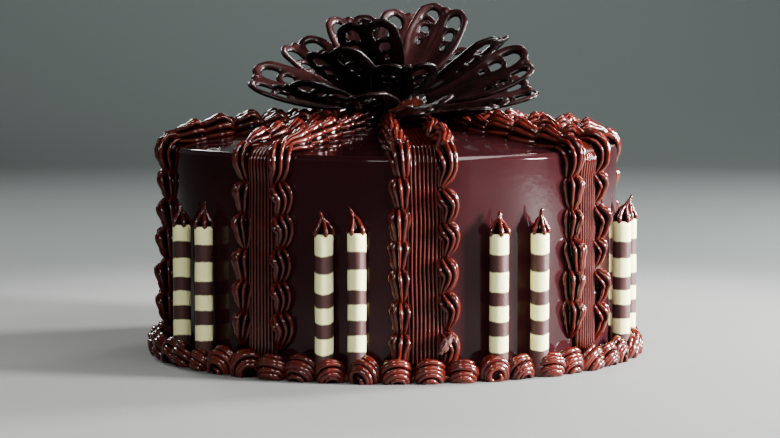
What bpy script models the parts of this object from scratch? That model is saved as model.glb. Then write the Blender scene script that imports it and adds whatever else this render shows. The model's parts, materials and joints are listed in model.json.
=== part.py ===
"""Round chocolate ganache cake with piped ribbons, striped sticks and a lattice flower.

Metres, +Z up. The origin is the centre of the cake's underside and the front faces -Y.
Angles on the cake are degrees from the front, growing towards +X.
"""
import math
import random

import bmesh
import bpy
from mathutils import Matrix, Vector

MM = 0.001
GAP = 0.3 * MM              # clearance between pieces that touch

# Iced cake: straight side, rounded edge, domed top
CAKE_RADIUS = 110 * MM
RIM_HEIGHT = 100 * MM
CROWN_RISE = 12 * MM
RIM_ROUND = 4.5 * MM
FOOT_ROUND = 1 * MM
CAKE_STEPS = 48
CROWN_STEPS = 3
RIM_STEPS = 2

# Piped ribbons: a flat band with a row of shells along each edge
RIBBON_ANGLES = (-87, -32, 6.2, 53, 110, 152, 193, 233)
RIBBON_START = 41 * MM      # distance from the cake's axis where a ribbon starts
RIBBON_FULL = 88 * MM       # distance from the axis where its shells reach full size
RIBBON_FOOT = 13.6 * MM     # height of its lower end, on the base border
BAND_WIDTH = 16 * MM
BAND_THICKNESS = 2.6 * MM
ROW_SPACING = 21.2 * MM     # between the centre lines of its two rows of shells
ROW_TAPER = 0.74            # share of the spacing left at the start
ROW_RAISE = 0.3 * MM        # the rows' undersides lie this much above the band's
SHELL_PITCH = 15 * MM
SHELL_WIDTH = 11 * MM
SHELL_HEIGHT = 8.4 * MM
SHELL_START = 0.36          # share of a full shell's height at the start
SHELL_FORM = ((0.0, 0.6, 0.48), (0.3, 1.0, 1.0))   # place along a shell, width, height
SHELL_STEP = 2 * MM         # least distance between two sections of a row
SHELL_SECTION = ((-0.5, 0.0), (-0.4, 0.62), (0.0, 1.0), (0.4, 0.62), (0.5, 0.0))

# Base border: a ring of slanted shells round the cake's foot
BORDER_SHELLS = 52
BORDER_INNER = CAKE_RADIUS + 0.4 * MM
BORDER_DEPTH = 13.2 * MM
BORDER_HEIGHT = 12.8 * MM
BORDER_SLANT = 4.5 * MM     # how far a shell's foot leads its top
BORDER_FORM = ((0.0, 0.76, 0.72), (0.28, 0.98, 0.99), (0.66, 1.0, 0.95))
BORDER_SECTION = ((0.0, 0.0), (0.88, 0.0), (1.0, 0.42), (0.66, 0.98), (0.0, 0.78))

# Striped chocolate sticks, two to a panel, each with a piped star tip
STICK_ANGLES = (-60.6, -50.2, -15.9, -8.4, 24.1, 35, 71.6, 83,
                126, 136, 167.5, 177.5, 208, 218, 248, 258)
STICK_RADIUS = 4.25 * MM
STICK_HEIGHT = 66.4 * MM
STICK_UNEVEN = 1 * MM
STICK_SIDES = 10
STICK_CENTRE = CAKE_RADIUS + GAP + 1.24 * STICK_RADIUS   # its star tip clears the side
NOTCH_WIDTH = 2 * STICK_RADIUS + 3 * GAP    # gap in the base border round a stick's foot
NOTCH_DEPTH = NOTCH_WIDTH + 2 * GAP
TIP_HEIGHT = 10.5 * MM
TIP_LEAN = 2.2 * MM
TIP_POINT = 0.3 * MM
TIP_RIDGE = 0.14            # depth of the tip's ridges as a share of its radius
TIP_TWIST = 14              # degrees that the tip turns from ring to ring
TIP_FORM = ((0.0, 0.92), (0.22, 1.04), (0.56, 0.5))

# Lattice flower on the crown
FLOWER_CENTRE = Vector((0, 0, 118 * MM))
CORE_RADIUS = 15 * MM
CORE_RISE = 12.5 * MM
CORE_STEPS = 14
CORE_BANDS = 5
PETAL_LENGTH = 57 * MM
PETAL_WIDTH = 32 * MM
PETAL_BASE = 5.4 * MM
PETAL_THICKNESS = 3 * MM
PETAL_LOBE = 8 * MM         # radius of each of the two round lobes at the tip
PETAL_KNOB = 2.4 * MM       # how far the tip's knob stands out of the cleft
PETAL_FLARE = 1.1           # higher values keep the petal narrow for longer
PETAL_SIDE_POINTS = 4
PETAL_LOBE_TURNS = (-10, 26, 62, 98, 134)   # degrees round each lobe, from its outer side
PETAL_SAG = 3.2 * MM        # hollow along the petal
PETAL_CUP = 3.6 * MM        # rise of its long edges
HOLE_ROWS = (               # holes: place along, distance from the middle, half width, half height
    (42.5 * MM, 7.6 * MM, 4.4 * MM, 3.4 * MM),
    (30.5 * MM, 5.6 * MM, 3.2 * MM, 2.8 * MM),
)
HOLE_FORM = ((-0.9, -0.8), (0.9, -0.8), (0.6, 0.7), (-0.6, 0.7))
PETALS = (                  # angle round, lift, roll, size
    (-16, 6.5, 6, 1.0), (13.4, 2.0, 19, 1.0), (42, 2.5, 12, 1.0), (105, 8, 12, 1.02),
    (135, 5, 10, 1.0), (167, 5.5, 10, 1.0), (-160, 3.5, 8, 1.0), (-132, 15, 0, 0.96),
    (-92, 13, -14, 1.02), (-48, 10.5, 6, 1.0), (5, 18.5, 2, 1.0), (-30.5, 24.5, 8, 0.98),
    (-125, 27.5, -4, 1.0), (137, 24.5, 6, 0.97), (90, 20, 18, 1.0), (57, 30, 20, 1.0),
    (-16, 38.5, 6, 0.97), (-153, 39, 10, 1.0), (171, 44.5, 16, 0.98), (139.5, 50.5, 22, 0.93),
)

GANACHE = ((0.055, 0.014, 0.011), 0.16)
PIPING = ((0.075, 0.018, 0.012), 0.22)
STICK_CREAM = ((0.78, 0.72, 0.5), 0.4)
PETAL_DARK = ((0.032, 0.011, 0.011), 0.24)
CORE_GANACHE = ((0.11, 0.022, 0.014), 0.18)


def clear_scene():
    for old in list(bpy.data.objects):
        bpy.data.objects.remove(old, do_unlink=True)


def new_collection(name):
    collection = bpy.data.collections.new(name)
    bpy.context.scene.collection.children.link(collection)
    return collection


def new_material(name, look):
    colour, roughness = look
    material = bpy.data.materials.new(name)
    material.use_nodes = True
    shader = material.node_tree.nodes["Principled BSDF"]
    shader.inputs["Base Color"].default_value = (*colour, 1)
    shader.inputs["Roughness"].default_value = roughness
    shader.inputs["Metallic"].default_value = 0
    return material


def add_object(name, mesh, collection, material):
    piece = bpy.data.objects.new(name, mesh)
    collection.objects.link(piece)
    mesh.materials.clear()
    mesh.materials.append(material)
    return piece


def on_cake(radius, angle, height):
    """Point at a distance from the axis, an angle in radians and a height."""
    return Vector((radius * math.sin(angle), -radius * math.cos(angle), height))


def loft(name, rings, closed):
    """Mesh through rings of equal count: a closed loop of rings, or one with end caps."""
    shape = bmesh.new()
    loops = [[shape.verts.new(point) for point in ring] for ring in rings]
    pairs = list(zip(loops, loops[1:]))
    if closed:
        pairs.append((loops[-1], loops[0]))
    for low, high in pairs:
        for index in range(len(low)):
            after = (index + 1) % len(low)
            shape.faces.new((low[index], low[after], high[after], high[index]))
    if not closed:
        shape.faces.new(list(reversed(loops[0])))
        shape.faces.new(loops[-1])
    bmesh.ops.recalc_face_normals(shape, faces=shape.faces[:])
    mesh = bpy.data.meshes.new(name)
    shape.to_mesh(mesh)
    shape.free()
    return mesh


def fuse(name, meshes, collection, material):
    """One object from overlapping closed meshes, by a Boolean union on a collection."""
    extras = new_collection(name + "_fused")
    piece = add_object(name, meshes[0], collection, material)
    for index, mesh in enumerate(meshes[1:]):
        add_object(f"{name}_extra_{index}", mesh, extras, material)
    union = piece.modifiers.new("Union", "BOOLEAN")
    union.operation = "UNION"
    union.operand_type = "COLLECTION"
    union.collection = extras
    apply_modifiers(piece)
    for extra in list(extras.objects):
        bpy.data.objects.remove(extra, do_unlink=True)
    bpy.data.collections.remove(extras)
    return piece


def apply_modifiers(piece):
    evaluated = piece.evaluated_get(bpy.context.evaluated_depsgraph_get())
    mesh = bpy.data.meshes.new_from_object(evaluated)
    piece.modifiers.clear()
    piece.data = mesh


def crown_height(radius):
    return RIM_HEIGHT + CROWN_RISE * (1 - (radius / CAKE_RADIUS) ** 2)


def turned(name, profile, steps, collection, material):
    """Object turned round Z from a profile of (distance, height) pairs, top to bottom."""
    mesh = bpy.data.meshes.new(name)
    edges = [(index, index + 1) for index in range(len(profile) - 1)]
    mesh.from_pydata([(radius, 0, height) for radius, height in profile], edges, [])
    piece = add_object(name, mesh, collection, material)
    turn = piece.modifiers.new("Turn", "SCREW")
    turn.axis = "Z"
    turn.steps = steps
    turn.render_steps = steps
    turn.use_merge_vertices = True
    turn.merge_threshold = 0.00001
    apply_modifiers(piece)
    piece.data.shade_smooth()
    piece.data.set_sharp_from_angle(angle=math.radians(40))
    return piece


def make_cake(collection):
    shoulder = CAKE_RADIUS - RIM_ROUND
    crown = [shoulder * step / CROWN_STEPS for step in range(CROWN_STEPS)]
    profile = [(radius, crown_height(radius)) for radius in crown]
    edge_height = crown_height(shoulder) - RIM_ROUND
    for step in range(RIM_STEPS + 1):
        turn = math.pi / 2 * (1 - step / RIM_STEPS)
        profile.append((shoulder + RIM_ROUND * math.cos(turn), edge_height + RIM_ROUND * math.sin(turn)))
    profile += [(CAKE_RADIUS, FOOT_ROUND), (CAKE_RADIUS - FOOT_ROUND, 0), (0, 0)]
    return turned("cake", profile, CAKE_STEPS, collection, new_material("ganache", GANACHE))


class RibbonPath:
    """Line down the cake from the crown, over the rounded edge, to the ribbon's foot."""

    def __init__(self):
        self.shoulder = CAKE_RADIUS - RIM_ROUND
        self.edge_height = crown_height(self.shoulder) - RIM_ROUND
        self.over = self.shoulder - RIBBON_START
        self.round = RIM_ROUND * math.pi / 2
        self.length = self.over + self.round + self.edge_height - RIBBON_FOOT
        self.bends = [self.over, self.over + self.round / 2, self.over + self.round]

    def at(self, along):
        """Distance from the axis, height, and the outward direction in that plane."""
        if along <= self.over:
            radius = RIBBON_START + along
            slope = 2 * CROWN_RISE * radius / CAKE_RADIUS ** 2
            outward = Vector((slope, 1)).normalized()
            return radius, crown_height(radius), outward
        if along <= self.over + self.round:
            turn = (along - self.over) / RIM_ROUND
            outward = Vector((math.sin(turn), math.cos(turn)))
            return (self.shoulder + RIM_ROUND * outward.x,
                    self.edge_height + RIM_ROUND * outward.y, outward)
        drop = along - self.over - self.round
        return CAKE_RADIUS, self.edge_height - drop, Vector((1, 0))

    def point(self, angle, along, aside, lift):
        radius, height, outward = self.at(along)
        turn = math.radians(angle) + math.asin(aside / radius)
        return on_cake(radius + lift * outward.x, turn, height + lift * outward.y)

    def growth(self, along):
        """Size of the shells here, from their share at the start up to 1."""
        full = RIBBON_FULL - RIBBON_START
        return SHELL_START + (1 - SHELL_START) * min(along / full, 1)

    def spread(self, along):
        full = RIBBON_FULL - RIBBON_START
        return ROW_TAPER + (1 - ROW_TAPER) * min(along / full, 1)


def shell_size(along, phase):
    """Width and height shares of a row of shells at a distance along it."""
    place = (along / SHELL_PITCH + phase) % 1
    form = list(SHELL_FORM) + [(1.0, SHELL_FORM[0][1], SHELL_FORM[0][2])]
    for (start, width0, height0), (end, width1, height1) in zip(form, form[1:]):
        if place <= end:
            share = (place - start) / (end - start)
            return width0 + (width1 - width0) * share, height0 + (height1 - height0) * share
    return form[-1][1:]


def row_mesh(path, angle, side, phase):
    """One row of shells down a ribbon's edge; each bulb faces the crown, its tail the foot."""
    stations = set()
    for count in range(-1, int(path.length / SHELL_PITCH) + 2):
        for place, _, _ in SHELL_FORM:
            along = (count + place - phase) * SHELL_PITCH
            if SHELL_STEP < along < path.length - SHELL_STEP:
                stations.add(along)
    bend_start = path.bends[0] - SHELL_STEP
    bend_end = path.bends[-1] + SHELL_STEP
    stations = [along for along in stations if not bend_start < along < bend_end]
    stations = sorted(stations + path.bends + [0, path.length])
    rings = []
    for along in stations:
        width, height = shell_size(along, phase)
        growth = path.growth(along)
        middle = side * ROW_SPACING / 2 * path.spread(along)
        ring = []
        for across, rise in SHELL_SECTION:
            aside = middle + across * width * SHELL_WIDTH * math.sqrt(growth)
            lift = GAP + ROW_RAISE + rise * height * SHELL_HEIGHT * growth
            ring.append(path.point(angle, along, aside, lift))
        rings.append(ring)
    return loft("shell_row", rings, closed=False)


def band_mesh(path, angle):
    """The flat band between the two rows."""
    stations = [0, path.over / 3, 2 * path.over / 3] + path.bends + [path.length]
    rings = []
    for along in stations:
        half = BAND_WIDTH / 2 * path.spread(along)
        top = GAP + BAND_THICKNESS * math.sqrt(path.growth(along))
        corners = ((-half, GAP), (-half, top), (0, top), (half, top), (half, GAP), (0, GAP))
        rings.append([path.point(angle, along, aside, lift) for aside, lift in corners])
    return loft("band", rings, closed=False)


def make_ribbons(collection):
    material = new_material("piped_ganache", PIPING)
    path = RibbonPath()
    draw = random.Random(4)
    for index, angle in enumerate(RIBBON_ANGLES, start=1):
        left = row_mesh(path, angle, -1, draw.random())
        right = row_mesh(path, angle, 1, draw.random())
        fuse(f"ribbon_{index}", [band_mesh(path, angle), left, right], collection, material)
    return material


def make_border(collection, cutters, material):
    """Ring of slanted shells, notched where the sticks stand in it."""
    rings = []
    for shell in range(BORDER_SHELLS):
        for place, depth, height in BORDER_FORM:
            turn = 2 * math.pi * (shell + place) / BORDER_SHELLS
            ring = []
            for out, up in BORDER_SECTION:
                radius = BORDER_INNER + out * depth * BORDER_DEPTH
                slant = BORDER_SLANT * (0.5 - up) * min(out * 2, 1) / radius
                ring.append(on_cake(radius, turn + slant, up * height * BORDER_HEIGHT))
            rings.append(ring)
    border = add_object("base_border", loft("base_border", rings, closed=True), collection, material)
    notches = bmesh.new()
    for angle in STICK_ANGLES:
        place = Matrix.Translation(on_cake(STICK_CENTRE - GAP, math.radians(angle), BORDER_HEIGHT / 2))
        turn = Matrix.Rotation(math.radians(angle), 4, "Z")
        size = Matrix.Diagonal((NOTCH_WIDTH, NOTCH_DEPTH, 2 * BORDER_HEIGHT, 1))
        bmesh.ops.create_cube(notches, size=1, matrix=place @ turn @ size)
    mesh = bpy.data.meshes.new("stick_pockets")
    notches.to_mesh(mesh)
    notches.free()
    pockets = bpy.data.objects.new("stick_pockets", mesh)
    cutters.objects.link(pockets)
    pockets.hide_render = True
    pockets.display_type = "WIRE"
    cut = border.modifiers.new("Pockets", "BOOLEAN")
    cut.operation = "DIFFERENCE"
    cut.object = pockets
    return border


def make_sticks(collection):
    """Sixteen sticks that stand against the cake's side; the star tip is fused to each."""
    material = new_material("striped_chocolate", STICK_CREAM)
    draw = random.Random(9)
    for index, angle in enumerate(STICK_ANGLES, start=1):
        height = STICK_HEIGHT + draw.uniform(-STICK_UNEVEN, STICK_UNEVEN)
        lean = math.radians(draw.uniform(0, 360))
        rings = [(0, STICK_RADIUS, 0, 0, 0), (height, STICK_RADIUS, 0, 0, 0)]
        for step, (rise, width) in enumerate(TIP_FORM):
            rings.append((height + rise * TIP_HEIGHT, width * STICK_RADIUS, TIP_RIDGE,
                          step * TIP_TWIST, rise ** 2 * TIP_LEAN))
        rings.append((height + TIP_HEIGHT, TIP_POINT, 0, len(TIP_FORM) * TIP_TWIST, TIP_LEAN))
        loops = []
        for level, radius, ridge, twist, shift in rings:
            loop = []
            for side in range(STICK_SIDES):
                turn = 2 * math.pi * side / STICK_SIDES + math.radians(twist)
                reach = radius * (1 + ridge * (-1) ** side)
                loop.append(Vector((reach * math.cos(turn) + shift * math.cos(lean),
                                    reach * math.sin(turn) + shift * math.sin(lean), level)))
            loops.append(loop)
        stick = add_object(f"stick_{index:02d}", loft("stick", loops, closed=False), collection, material)
        stick.location = on_cake(STICK_CENTRE, math.radians(angle), 0)
        stick.rotation_euler.z = math.radians(angle)


def petal_outline():
    """Right half of a petal's edge from its base to the cleft between the lobes."""
    lobe_height = PETAL_LENGTH - PETAL_LOBE
    widest = PETAL_WIDTH / 2
    half = []
    for step in range(PETAL_SIDE_POINTS):
        share = step / PETAL_SIDE_POINTS
        flare = math.sin(share * math.pi / 2) ** PETAL_FLARE
        half.append((PETAL_BASE / 2 + (widest - PETAL_BASE / 2) * flare, share * lobe_height))
    for degrees in PETAL_LOBE_TURNS:
        turn = math.radians(degrees)
        half.append((widest - PETAL_LOBE + PETAL_LOBE * math.cos(turn),
                     lobe_height + PETAL_LOBE * math.sin(turn)))
    half.append((PETAL_KNOB / 2, PETAL_LENGTH - PETAL_LOBE / 2 + PETAL_KNOB))
    return half


def petal_mesh(size):
    """Flat lattice petal as a filled 2D curve, then hollowed along and across."""
    outline = petal_outline()
    loops = [outline + [(-x, y) for x, y in reversed(outline)]]
    for along, offset, half_width, half_height in HOLE_ROWS:
        for centre in (-offset, offset):
            loops.append([(centre + x * half_width, along + y * half_height) for x, y in HOLE_FORM])
    curve = bpy.data.curves.new("petal", "CURVE")
    curve.dimensions = "2D"
    curve.fill_mode = "BOTH"
    curve.extrude = PETAL_THICKNESS / 2
    for loop in loops:
        spline = curve.splines.new("POLY")
        spline.points.add(len(loop) - 1)
        spline.use_cyclic_u = True
        for point, (x, y) in zip(spline.points, loop):
            point.co = (x * size, y * size, 0, 1)
    guide = bpy.data.objects.new("petal_curve", curve)
    bpy.context.scene.collection.objects.link(guide)
    evaluated = guide.evaluated_get(bpy.context.evaluated_depsgraph_get())
    mesh = bpy.data.meshes.new_from_object(evaluated)
    bpy.data.objects.remove(guide, do_unlink=True)
    shape = bmesh.new()
    shape.from_mesh(mesh)
    bmesh.ops.remove_doubles(shape, verts=shape.verts[:], dist=0.01 * MM)
    for vertex in shape.verts:
        share = vertex.co.y / (PETAL_LENGTH * size)
        across = vertex.co.x / (PETAL_WIDTH / 2)
        vertex.co.z += 4 * PETAL_SAG * (share ** 2 - share) + PETAL_CUP * across ** 2
    shape.to_mesh(mesh)
    shape.free()
    return mesh


def core_reach(lift):
    """Distance from the flower's centre to the core's surface at an angle of lift."""
    return 1 / math.hypot(math.cos(lift) / CORE_RADIUS, math.sin(lift) / CORE_RISE)


def make_flower(collection):
    material = new_material("dark_chocolate", PETAL_DARK)
    for index, (angle, lift, roll, size) in enumerate(PETALS, start=1):
        turn = math.radians(angle)
        rise = math.radians(lift)
        outward = on_cake(math.cos(rise), turn, math.sin(rise))
        aside = Vector((-math.cos(turn), -math.sin(turn), 0))
        upward = aside.cross(outward)
        frame = Matrix((aside, outward, upward)).transposed().to_4x4()
        start = FLOWER_CENTRE + outward * (core_reach(rise) + 3 * GAP)
        petal = add_object(f"petal_{index:02d}", petal_mesh(size), collection, material)
        petal.matrix_world = (Matrix.Translation(start) @ frame
                              @ Matrix.Rotation(math.radians(roll), 4, "Y"))
    floor = crown_height(0) + GAP
    lowest = math.asin((floor - FLOWER_CENTRE.z) / CORE_RISE)
    profile = []
    for step in range(CORE_BANDS + 1):
        turn = math.pi / 2 + (lowest - math.pi / 2) * step / CORE_BANDS
        profile.append((CORE_RADIUS * math.cos(turn), FLOWER_CENTRE.z + CORE_RISE * math.sin(turn)))
    profile[0] = (0, FLOWER_CENTRE.z + CORE_RISE)
    profile.append((0, floor))
    turned("flower_core", profile, CORE_STEPS, collection, new_material("soft_ganache", CORE_GANACHE))


def main():
    clear_scene()
    cake = new_collection("ganache_cake")
    cutters = new_collection("cutters")
    make_cake(cake)
    piping = make_ribbons(cake)
    make_border(cake, cutters, piping)
    make_sticks(cake)
    make_flower(cake)


main()
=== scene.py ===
"""Looks of the chocolate ganache cake: glaze, piped ribbons, striped sticks, lattice flower.

Metres, +Z up, front towards -Y. Angles on the cake are degrees from the front, growing
towards +X. Every finished piece stands for a node of the frame and lies where it lies.
"""
import json
import math
import random
from math import cos, pi, radians, sin

import bmesh
import bpy
from mathutils import Euler, Matrix, Vector, noise

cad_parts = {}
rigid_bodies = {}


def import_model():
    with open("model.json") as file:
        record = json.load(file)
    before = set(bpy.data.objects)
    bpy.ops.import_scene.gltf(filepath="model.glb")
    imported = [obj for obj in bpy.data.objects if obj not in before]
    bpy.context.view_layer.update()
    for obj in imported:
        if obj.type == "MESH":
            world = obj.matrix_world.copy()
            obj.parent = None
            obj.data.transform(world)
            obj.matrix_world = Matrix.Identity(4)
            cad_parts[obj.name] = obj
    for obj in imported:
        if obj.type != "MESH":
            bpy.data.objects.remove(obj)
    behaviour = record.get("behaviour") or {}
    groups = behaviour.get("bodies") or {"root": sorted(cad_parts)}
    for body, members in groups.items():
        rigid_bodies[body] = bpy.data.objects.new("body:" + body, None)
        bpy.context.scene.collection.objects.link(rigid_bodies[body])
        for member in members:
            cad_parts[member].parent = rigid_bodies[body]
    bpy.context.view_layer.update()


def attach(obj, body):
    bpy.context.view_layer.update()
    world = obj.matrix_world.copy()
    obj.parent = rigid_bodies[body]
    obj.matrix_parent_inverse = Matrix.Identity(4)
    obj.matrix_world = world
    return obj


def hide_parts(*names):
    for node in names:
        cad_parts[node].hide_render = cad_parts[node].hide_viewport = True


MM = 0.001
TAU = 2 * pi
UP = Vector((0, 0, 1))

# Iced cake
CAKE_RADIUS = 110 * MM
CAKE_STEPS = 200            # points round it
CAKE_UNEVEN = 0.35 * MM
RIM_HEIGHT = 101.4 * MM
CROWN_RISE = 12 * MM
CROWN_STEPS = 22
SIDE_STEPS = 12
RIM_CURVE = 1.2 * MM         # length of the outline from the crown to the rim's ring
RIM_BEVEL = 1.5 * MM         # nearly flat ring on the rim, which catches the light
RIM_TILT = 23               # degrees that it looks up

# Strands of piping
STRAND_SIDES = 8
CORE_SIDES = 10             # of the core that a shell's fins stand on
FIN_ENDS = (0.55, 0.5)      # size of a fin's first and last section
FIN_LUMPS = 0.07

# Ribbons
RIBBON_ANGLES = (-87, -32, 6.2, 53, 110, 152, 193, 233)
RIBBON_LEAN = (0.2, -0.8, 0.9, 0.5, 0.4, -0.5, 0.6, 0.3)   # degrees gained on the way down
RIBBON_START = 41 * MM
RIBBON_FULL = 80 * MM
RIBBON_FOOT = 8 * MM
RIBBON_ROUND = 7 * MM        # of the piping over the rim
RIBBON_SWELL = 1.6 * MM      # that it stands out there
RIBBON_WOBBLE = 0.35         # degrees
RIBBON_BEGIN = -8 * MM       # of the piping under the flower, before the ribbon's start
CROWN_PLUMP = 0.22           # how much taller the shells are on the crown
CROWN_END = 8 * MM           # before the rim, where the shells take their side form
ROW_SPACING = 21.2 * MM
ROW_TAPER = 0.74
SHELL_PITCH = 15 * MM
SHELL_STARTS = {            # heads down a ribbon's left (-1) or right (1) row, in mm
    (3, 1): (65.1, 82.4, 97.1, 113.8, 128.8, 147.3),
    (3, -1): (62.1, 76.7, 91, 104.4, 117.7, 132.9, 147.4),
    (4, -1): (63.1, 78.2, 93.6, 108.1), (4, 1): (62.1, 77.1, 93.1, 108.1),
}
SHELL_LENGTH = 17.6 * MM
SHELL_WIDTH = 11.6 * MM
SHELL_HEIGHT = 8.6 * MM
SHELL_START = 0.74          # size of the first shells
SHELL_SWAYS = {             # a shell's bend to the side along it, in each row
    -1: ((0, 0), (1, 0)), 1: ((0, -0.4), (0.45, 0.16), (1, -0.34)),
}
SHELL_FINS = {               # angles of the fins, thickness in mm, depth over thickness, core
    "crown": ((-88, -58, -29, 0, 29, 58, 88), 1.25, 1.15, 0.8),
    "side": ((-84, -43, -2, 39, 80), 0.98, 2.2, 0.4),
}
SHELL_FORMS = {              # half the width and the height along a shell, as shares of the most
    "crown": (((0, 0.5), (0.3, 1), (0.64, 0.8), (1, 0.3)), ((0, 0.4), (0.34, 1), (0.68, 0.78), (1, 0.28))),
    "side": (((0, 0.7), (0.22, 1), (0.58, 0.74), (1, 0.26)), ((0, 0.52), (0.24, 1), (0.6, 0.74), (1, 0.26))),
}
SHELL_KINDS = 6
SHELL_STEPS = 14
BAND_WIDTH = 16.6 * MM
BAND_LIFT = 1.5 * MM
BAND_STEPS = 84
RIB_COUNT = 9
RIB_STEPS = 7
RIB_DEPTH = 1.5 * MM
TORN_RIBBON = 3
TORN_ANGLE = 11.2           # of the tear in the centre ribbon's lowest shell, in degrees
TORN_HEIGHT = 17 * MM
TORN_LIFT = 7.4 * MM
TORN_LEAN = 33
TORN_SIZE = (1.9, 1.3, 4.7)   # half sizes in mm

# Base border
SWIRL_COUNT = 50
SWIRL_KINDS = 10
SWIRL_FIRST = 0.8           # degrees
SWIRL_LINE = CAKE_RADIUS + 7.2 * MM
SWIRL_HALF = 7.7 * MM
SWIRL_HEIGHT = 12.6 * MM
SWIRL_DEPTH = 6.2 * MM
SWIRL_MIDDLE = 4.2 * MM      # height of the point that its strand winds round
SWIRL_STRAND = 1.42 * MM
SWIRL_STEPS = 20            # points in each turn of the strand
SWIRL_END = 126             # degrees from the hollow to where the strand ends
SWIRL_CORE = 0.76           # size of the middle that the strand lies on, which is painted dark as shade
SWIRL_CORE_SIDES = 14
SWIRL_CORE_STEPS = 12
SWIRL_PAINTED_SHADE = 0.95         # how dark the painted shade between its turns is
BED_STEPS = 208
BED_LINE = CAKE_RADIUS + 3.6 * MM
BED_HALF = 3.4 * MM
BED_MIDDLE = 1.6 * MM
BED_RISE = 2.6 * MM

# Sticks
STICK_ANGLES = (-60.6, -50.2, -15.9, -8.4, 24.1, 35, 71.6, 83,
                126, 136, 167.5, 177.5, 208, 218, 248, 258)
STICK_RADIUS = 4.25 * MM
STICK_HEIGHT = 66.4 * MM
STICK_UNEVEN = 1 * MM
STICK_CENTRE = CAKE_RADIUS + 0.3 * MM + 1.24 * STICK_RADIUS
STICK_SIDES = 28
STICK_STEPS = 26
STICK_EDGE = 0.5 * MM
STRIPE_HEIGHTS = (13.0, 20.2, 27.0, 34.0, 40.5, 49.4, 57.5)   # where the bands change, in mm
STRIPE_BROWN = (0.052, 0.021, 0.020)
STRIPE_CREAM = (0.96, 0.94, 0.46)
STICK_HOOKS = ((-1, 1), (1, 2), (-2, 0), (-4, 0.5), (0.3, 1), (1, -1), (4.5, 0), (2, 1),
               (1, 2), (-2, 1), (1, 1), (-1, 2), (2, 0), (0, -2), (1, -1), (-2, 1))   # mm
TIP_HEIGHT = 12 * MM
TIP_RADIUS = 5.4 * MM
TIP_FORM = ((0, 0.9), (0.18, 1), (0.46, 0.6), (0.72, 0.2), (1, 0.05))
TIP_FINS = 5
TIP_STEPS = 11

# Lattice flower
FLOWER_CENTRE = Vector((0, 0, 118 * MM))
CORE_RADIUS = 15 * MM
CORE_RISE = 12.5 * MM
CORE_SUNK = 0.8 * MM         # below the crown
PETAL_LENGTH = 57 * MM
PETAL_WIDTH = 32 * MM
PETAL_SAG = 3.2 * MM
PETAL_CUP = 3.6 * MM
PETAL_START = 0.9 * MM      # from the core's surface to a petal's base
PETAL_FULL = 38 * MM        # from the base to where the petal is widest
PETAL_NECK = 0.17           # width at the base as a share of the widest
PETAL_ARCHES = (            # middle, reach and top of a lobe's nested arches, strand radius, in mm
    (7.4, 6.2, 54.6, 2.4), (7.3, 3.9, 43.6, 1.5), (7.2, 2.3, 35.4, 1.4), (7.2, 0.7, 28.6, 1.3),
)
ARCH_TALL = 1.12            # height of an arch's round over its reach
ARCH_START = 1 * MM
ARCH_STEPS = 12             # up each leg
ROUND_STEPS = 14            # over the top
STRAND_FLAT = 0.3 * MM      # behind a strand's middle, where the back is flat
STRAND_RISE = 0.5 * MM      # of the inner strands over the outer one
WEB_THICKNESS = 1.2 * MM
WEB_MARGIN = 2.2 * MM
KNOB_RADIUS = 2.9 * MM
KNOB_PLACE = 53.6 * MM
PETAL_GRAIN = 0.68 * MM      # of the mesh that its strands are fused into
PETAL_SMOOTHING = 4         # rounds
PETAL_EDGE = 2.8 * MM       # over which the painted shade on a petal's flat back fades out towards its strands' tops
PETAL_FADE = 2.4            # power of that fade, which keeps painted shade between the strands
PETALS = (                  # angle round, lift, roll, size
    (-16, 6.5, 6, 1.0), (13.4, 2.0, 19, 1.0), (42, 2.5, 12, 1.0), (105, 8, 22, 1.02),
    (135, 5, 10, 1.0), (167, 5.5, 10, 1.0), (-160, 3.5, 8, 1.0), (-132, 15, 0, 0.96),
    (-92, 13, -30, 1.02), (-48, 10.5, 6, 1.0), (5, 18.5, 2, 1.0), (-30.5, 24.5, 8, 0.98),
    (-125, 27.5, -18, 1.0), (137, 24.5, 6, 0.97), (90, 20, 34, 1.0), (57, 30, 4, 1.0),
    (-16, 38.5, 6, 0.97), (-153, 41, -6, 1.0), (171, 44.5, 16, 0.98), (139.5, 50.5, 22, 0.93),
)

# Finishes: deep and warm colour, roughness, bump, patch scale, grain scale, gloss, and whether the gloss is
# a coat that thins where shade is painted
FINISHES = {
    "poured_glaze": ((0.0165, 0.0034, 0.0044), (0.0220, 0.0052, 0.0065), 0.08, 0.05, 25, 260, 0.22, False),
    "piped_ganache": ((0.048, 0.0046, 0.0030), (0.082, 0.0088, 0.0050), 0.11, 0.1, 90, 700, 0.75, True),
    "petal_chocolate": ((0.016, 0.0040, 0.0042), (0.031, 0.0080, 0.0084), 0.27, 0.1, 120, 800, 0.42, True),
    "soft_ganache": ((0.010, 0.0015, 0.0009), (0.018, 0.0027, 0.0014), 0.12, 0.08, 110, 400, 0.4, False),
    "torn_ganache": ((0.060, 0.018, 0.014), (0.120, 0.042, 0.034), 0.5, 0.6, 300, 900, 0.3, False),
}
PAINTED_SHADE_DIM = 0.06          # share of colour left where shade is painted: in grooves and on a petal's flat back
PAINTED_SHADE_GLOSS = 0.06         # gloss left where shade is painted
CHOCOLATE_IOR = 1.46
COAT_IOR = 1.55

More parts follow.
